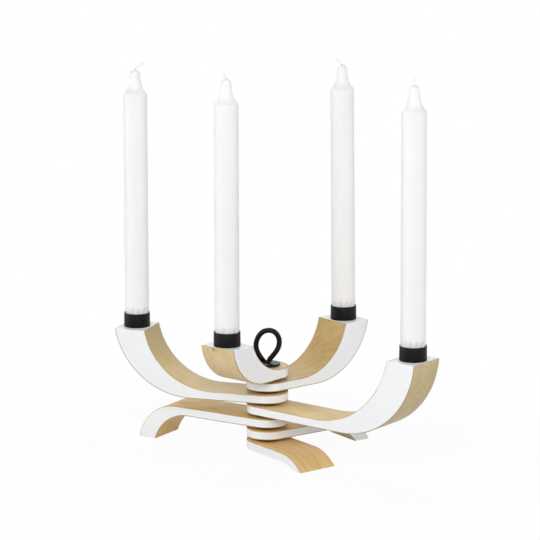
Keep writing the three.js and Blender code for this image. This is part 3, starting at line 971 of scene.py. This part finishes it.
# %% Bend the rod
LOOP_LINE = [
    (0, -2.3), (1.2, 0.2), (2.4, 3.2), (4.6, 5.9), (7.5, 9.6), (9.9, 14), (10.8, 19.2), (10.1, 23),
    (8.1, 26.5), (4.8, 28.9), (0.7, 29.5), (-3.2, 28.5), (-6.3, 26), (-8.4, 22.8), (-9.7, 19.3),
    (-10.1, 15.8), (-9.6, 12.1), (-8, 8.2), (-5.1, 3.7)]
FREE_END, FREE_END_DEPTH = [(-2.9, 0.1), (-1.6, -2)], 2.6


def loop_points():
    """The rod's middle line: out to the right, round, and down on the left, behind its foot."""
    line = [Vector((across, 0, WASHER_TOP + up)) for across, up in LOOP_LINE]
    return line + [Vector((across, FREE_END_DEPTH, WASHER_TOP + up)) for across, up in FREE_END]


def through(points, per_span):
    """Points of a centripetal curve through the given ones, so it never loops or overshoots."""
    ends = [points[0] * 2 - points[1], *points, points[-1] * 2 - points[-2]]
    path = []
    for a, b, c, d in zip(ends, ends[1:], ends[2:], ends[3:]):
        ta = 0.0
        tb = ta + math.sqrt((b - a).length)
        tc = tb + math.sqrt((c - b).length)
        td = tc + math.sqrt((d - c).length)
        for i in range(per_span):
            t = tb + (tc - tb) * i / per_span
            ab = a.lerp(b, (t - ta) / (tb - ta))
            bc = b.lerp(c, (t - tb) / (tc - tb))
            cd = c.lerp(d, (t - tc) / (td - tc))
            abc = ab.lerp(bc, (t - ta) / (tc - ta))
            bcd = bc.lerp(cd, (t - tb) / (td - tb))
            path.append(abc.lerp(bcd, (t - tb) / (tc - tb)))
    return path + [points[-1]]


def rod_along(name, points, radius, resolution):
    """A round rod bent along points in millimetres, as a closed mesh."""
    line = bpy.data.curves.new(name, "CURVE")
    line.dimensions = "3D"
    line.bevel_depth = radius * MM
    line.bevel_resolution = resolution
    line.use_fill_caps = True
    spline = line.splines.new("POLY")
    spline.points.add(len(points) - 1)
    for point, place in zip(spline.points, points):
        point.co = (*(place * MM), 1)
    obj = bpy.data.objects.new(name, line)
    scene.collection.objects.link(obj)
    activate(obj)
    bpy.ops.object.convert(target="MESH")
    edit(obj, "SELECT")
    bpy.ops.mesh.remove_doubles(threshold=1e-7)
    close_up()
    return obj


LOOP_FOOT, SHANK_OVERLAP, SKIN = 0.5, 0.5, 0.32
loop = rod_along("bent_tie_bolt", through(loop_points(), 8), ROD_RADIUS, 8)
edit(loop, "SELECT")
bpy.ops.mesh.bisect(plane_co=(0, 0, (WASHER_TOP + LOOP_FOOT) * MM), plane_no=(0, 0, -1),
                    use_fill=True, clear_outer=True)
bpy.ops.object.mode_set(mode="OBJECT")
shank = make_drill(ROD_RADIUS, NUT_BOTTOM, WASHER_TOP + LOOP_FOOT + SHANK_OVERLAP)
cut(loop, shank, "UNION")
discard(shank)
apply_modifier(loop, "REMESH", mode="VOXEL", voxel_size=SKIN * MM)
apply_modifier(loop, "SMOOTH", factor=0.5, iterations=4)
loop.location = BOLT
finish_piece(loop, black_coat, "tie_bolt_loop", angle=60)

# %% [markdown]
# ## Captive nut
# A six-sided nut has its corners turned off at 30 degrees, which leaves the round bright rim
# that every nut has. The hexagon is a six-sided cylinder, and what a lathe-turned blank covers
# of it is kept.

# %% Nut under the lowest leg
BLANK_RADIUS, FLAT_RADIUS, CHAMFER = NUT_RADIUS + 0.15, 3.75, 0.62
nut = make_drill(NUT_RADIUS, NUT_BOTTOM, NUT_TOP, sides=6)
nut.name = "hex_nut"
blank = spin_section("nut_blank", [
    (0, NUT_BOTTOM), (FLAT_RADIUS, NUT_BOTTOM), (BLANK_RADIUS, NUT_BOTTOM + CHAMFER),
    (BLANK_RADIUS, NUT_TOP - CHAMFER), (FLAT_RADIUS, NUT_TOP), (0, NUT_TOP)], steps=64)
cut(nut, blank, "INTERSECT")
cut(nut, bolt_drill)
discard(blank)
activate(nut)
nut.rotation_euler = (0, 0, math.radians(30 + LEGS["leg_3"][0]))
nut.location = BOLT
finish_piece(nut, steel, "captive_nut", angle=20)

# %% [markdown]
# ## Candles
# A crown candle has a fluted foot that grips the cup, a body that tapers very slightly, and a
# neck that the mould draws in below a round tip. One ring is extruded upwards and scaled at
# each height, like pulling a pot, until it closes round the wick hole. The flutes are
# then pressed in: every corner gets a weight, from nothing on a ridge to one in the middle of a
# flute, and a Displace modifier pushes the wax in by that weight. The top of each flute
# fades out as an arch, as a round-nosed cutter leaves it.

# %% Pull up the body
CANDLE_RADIUS, SHOULDER_RADIUS, NECK_RADIUS = 10.9, 10.55, 4.3
CANDLE_LENGTH, SHOULDER_TO_TIP, TIP_HEIGHT, NECK_FLARE = 231, 21.4, 5, 5
FLUTES, COLUMNS, FLUTE_DEPTH, ARCH_TOP, ARCH_HEIGHT = 12, 14, 1.8, 15.3, 4.2
INSIDE_FOOT, ABOVE_FLUTES = 5, 20
WICK_HOLE_RADIUS, WICK_DEPTH, TIP_ARC, TIP_STEPS = 0.8, 4, math.radians(75), 10


def candle_rings():
    """(height, radius) of every ring from the foot to the bottom of the wick hole."""
    shoulder = CANDLE_LENGTH - SHOULDER_TO_TIP

    def body(height):
        return CANDLE_RADIUS - (CANDLE_RADIUS - SHOULDER_RADIUS) * height / shoulder

    rings = [(0, body(0) - 0.5), (0.15, body(0) - 0.15), (0.5, body(0.5))]
    rings += [(h, body(h)) for h in (3, 6, 8.5)]
    rings += [(9 + 0.4 * i, body(9 + 0.4 * i)) for i in range(17)]
    rings += [(h, body(h)) for h in (17, 20, 40, 80, 120, 160, 190, 203)]
    rings += [(shoulder - 1.2, body(shoulder - 1.2)), (shoulder - 0.4, body(shoulder) - 0.03)]
    hollow = SHOULDER_TO_TIP - TIP_HEIGHT
    neck = [hollow * (i / 16) ** 1.5 for i in range(17)]
    draw_in = SHOULDER_RADIUS - NECK_RADIUS
    rings += [(shoulder + up, NECK_RADIUS + draw_in * math.exp(-up / NECK_FLARE)) for up in neck]
    last = rings[-1][1]
    for i in range(1, TIP_STEPS + 1):
        angle = TIP_ARC * i / TIP_STEPS
        rings.append((shoulder + hollow + TIP_HEIGHT * math.sin(angle) / math.sin(TIP_ARC),
                      last * math.cos(angle)))
    hole_bottom = CANDLE_LENGTH - WICK_DEPTH - 0.3
    return rings + [(CANDLE_LENGTH, WICK_HOLE_RADIUS), (hole_bottom, WICK_HOLE_RADIUS)]


def pull_up(name, rings, columns):
    clear_selection()
    bpy.ops.mesh.primitive_circle_add(
        vertices=columns, radius=rings[0][1] * MM, enter_editmode=True)
    obj = bpy.context.object
    obj.name = name
    for (low_z, low_r), (high_z, high_r) in zip(rings, rings[1:]):
        extrude(0, 0, (high_z - low_z) * MM)
        scale = high_r / low_r
        bpy.ops.transform.resize(value=(scale, scale, 1), center_override=(0, 0, high_z * MM))
    bpy.ops.mesh.edge_face_add()
    pick(obj, "edges", lambda edge: all(v.co.z < 1e-7 for v in edge.verts))
    bpy.ops.mesh.edge_face_add()
    close_up()
    return obj


candle_pattern = pull_up("candle_pattern", candle_rings(), FLUTES * COLUMNS)
print("candle has", len(candle_pattern.data.polygons), "faces before fluting")

# %% Press in the flutes
def flute_weight(co):
    turn = math.atan2(co.y, co.x) / (2 * math.pi) * FLUTES
    across = 2 * (turn % 1) - 1
    above_arch = max(0, co.z / MM - (ARCH_TOP - ARCH_HEIGHT)) / ARCH_HEIGHT
    return max(0, 1 - across ** 2 - above_arch ** 2)


flutes = candle_pattern.vertex_groups.new(name="flutes")
for vertex in candle_pattern.data.vertices:
    radius = math.hypot(vertex.co.x, vertex.co.y)
    if radius > INSIDE_FOOT * MM and vertex.co.z < ABOVE_FLUTES * MM:
        flutes.add([vertex.index], flute_weight(vertex.co), "REPLACE")
apply_modifier(candle_pattern, "DISPLACE", vertex_group=flutes.name, direction="NORMAL",
               mid_level=0, strength=-FLUTE_DEPTH * MM)
candle_pattern.vertex_groups.clear()

LEANS = {"arm_a": 0.1, "arm_b": -0.6, "arm_c": 0.3, "arm_d": -0.4}
CANDLE_FOOT = CUP_FLOOR + 0.3
copy_to_tips(candle_pattern, "crown_candle", wax, "candle", CANDLE_FOOT, LEANS, 40)

# %% [markdown]
# ## Wicks
# A wick is cotton yarn. Three strands are twisted round the bent middle line, each a thin rod
# along its own helix, so that the cord shows its lay. A plain tube would look like wire.

# %% Twist the wicks
WICK_BENDS = {
    "arm_a": [(-0.4, 1.6), (-2.3, 4.0), (-2.2, 6.0)],
    "arm_b": [(-0.6, 1.4), (-2.8, 3.2), (-5.4, 4.6)],
    "arm_c": [(0.7, 1.4), (4.4, 4.0), (8.7, 5.6)],
    "arm_d": [(0.1, 2.2), (0.2, 4.3), (0.1, 6.6)],
}
STRANDS, STRAND_OFFSET, STRAND_RADIUS, TWIST = 3, 0.33, 0.36, 1.4


def strand(path, phase):
    """One strand's helix round a path in the XZ plane."""
    points = []
    travelled = 0.0
    for i, here in enumerate(path):
        ahead = (path[min(i + 1, len(path) - 1)] - path[max(i - 1, 0)]).normalized()
        across = Vector((ahead.z, 0, -ahead.x))
        if i:
            travelled += (here - path[i - 1]).length
        angle = phase + travelled * TWIST
        out = across * math.cos(angle) + Vector((0, 1, 0)) * math.sin(angle)
        points.append(here + out * STRAND_OFFSET)
    return points


for board in ARMS:
    bends = [(0, -WICK_DEPTH), (0, -WICK_DEPTH / 2), (0, 0), *WICK_BENDS[board]]
    path = through([Vector((x, 0, CANDLE_LENGTH + z)) for x, z in bends], 10)
    strands = [rod_along(f"strand_{i}", strand(path, i * 2 * math.pi / STRANDS), STRAND_RADIUS, 3)
               for i in range(STRANDS)]
    clear_selection()
    for piece in strands:
        piece.select_set(True)
    bpy.context.view_layer.objects.active = strands[0]
    bpy.ops.object.join()
    wick = bpy.context.object
    wick.name = f"twisted_wick_{board[-1]}"
    place_on_tip(wick, board, CANDLE_FOOT, LEANS[board])
    finish_piece(wick, cotton, f"wick_{board[-1]}", angle=60)

# %% [markdown]
# ## Cup screws
# The screws lie under the candles, at the bottom of the cups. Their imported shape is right, so
# they only get the finish of plated steel.

# %% Screws and clean-up
for board in ARMS:
    screw = frame["nodes"][f"cup_screw_{board[-1]}"]
    screw.data.materials.clear()
    screw.data.materials.append(steel)
discard(plan, bolt_drill)
print("screws finished")

# %% [markdown]
# ## Studio
# The photograph is a bright cut-out: white all round, soft light that comes mostly from the
# front, and hardly a shadow. Weaker softboxes at the left, the right and behind give every
# bend its own shade. The floor is a pale matt sheet that keeps the contact shadows under the
# feet, and to the camera it fades to plain white a little way out. The world is white to the
# camera and to reflections, and gives only a faint, even light to the object.

# %% Floor and world
FLOOR_WHITE, FLOOR_FADE, WORLD_LIGHT = 0.95, (0.16, 0.42), 0.13


def new_output(tree, kind, share, lit, plain):
    """Shows white by a share to the camera and in reflections, and the lit surface for the rest."""
    output = add_node(tree, kind)
    rays = add_node(tree, "LightPath")
    seen = calc("MAXIMUM", rays.outputs["Is Camera Ray"], rays.outputs["Is Glossy Ray"])
    seen = calc("MAXIMUM", seen, rays.outputs["Is Transmission Ray"])
    mix = add_node(tree, "MixShader")
    join((calc("MULTIPLY", seen, share), mix.inputs["Fac"]),
         (lit.outputs[0], mix.inputs[1]), (plain.outputs[0], mix.inputs[2]),
         (mix.outputs["Shader"], output.inputs["Surface"]))


clear_selection()
bpy.ops.mesh.primitive_plane_add(size=40)
floor = bpy.context.object
floor.name = "studio_floor"
floor_material = bpy.data.materials.new("studio_floor")
floor_material.use_nodes = True
tree = floor_material.node_tree
tree.nodes.clear()
matt = add_node(tree, "BsdfDiffuse", {"Color": (0.86, 0.86, 0.86, 1)})
glow = add_node(tree, "Emission", {"Color": (1, 1, 1, 1), "Strength": 1.0})
source = add_node(tree, "TexCoord")
fade = faded(distance(source.outputs["Object"]), *FLOOR_FADE, FLOOR_WHITE, 1.0)
new_output(tree, "OutputMaterial", fade, matt, glow)
floor.data.materials.append(floor_material)

world = bpy.data.worlds.new("studio_world")
scene.world = world
world.use_nodes = True
tree = world.node_tree
tree.nodes.clear()
light, white = (add_node(tree, "Background", {"Color": (1, 1, 1, 1), "Strength": power})
                for power in (WORLD_LIGHT, 1.0))
new_output(tree, "OutputWorld", 1.0, light, white)
print("floor and world ready")

# %% Lamps
# place, size and power of each softbox
LAMPS = {
    "left": ((-2.1, -0.1, 0.6), 1.3, 17),
    "front": ((-0.1, -1.9, 1.22), 1.3, 30),
    "behind": ((-0.14, 1.63, 1.6), 1.6, 16),
    "right": ((1.96, -0.35, 1.05), 1.4, 13),
}
AIM = Vector((0, 0, 0.12))
for name, (place, size, power) in LAMPS.items():
    lamp = bpy.data.lights.new(name, "AREA")
    lamp.shape = "SQUARE"
    lamp.size = size
    lamp.energy = power
    obj = bpy.data.objects.new(name, lamp)
    scene.collection.objects.link(obj)
    obj.location = place
    obj.rotation_euler = (AIM - Vector(place)).to_track_quat("-Z", "Y").to_euler()
    print("softbox", name, "at", place)
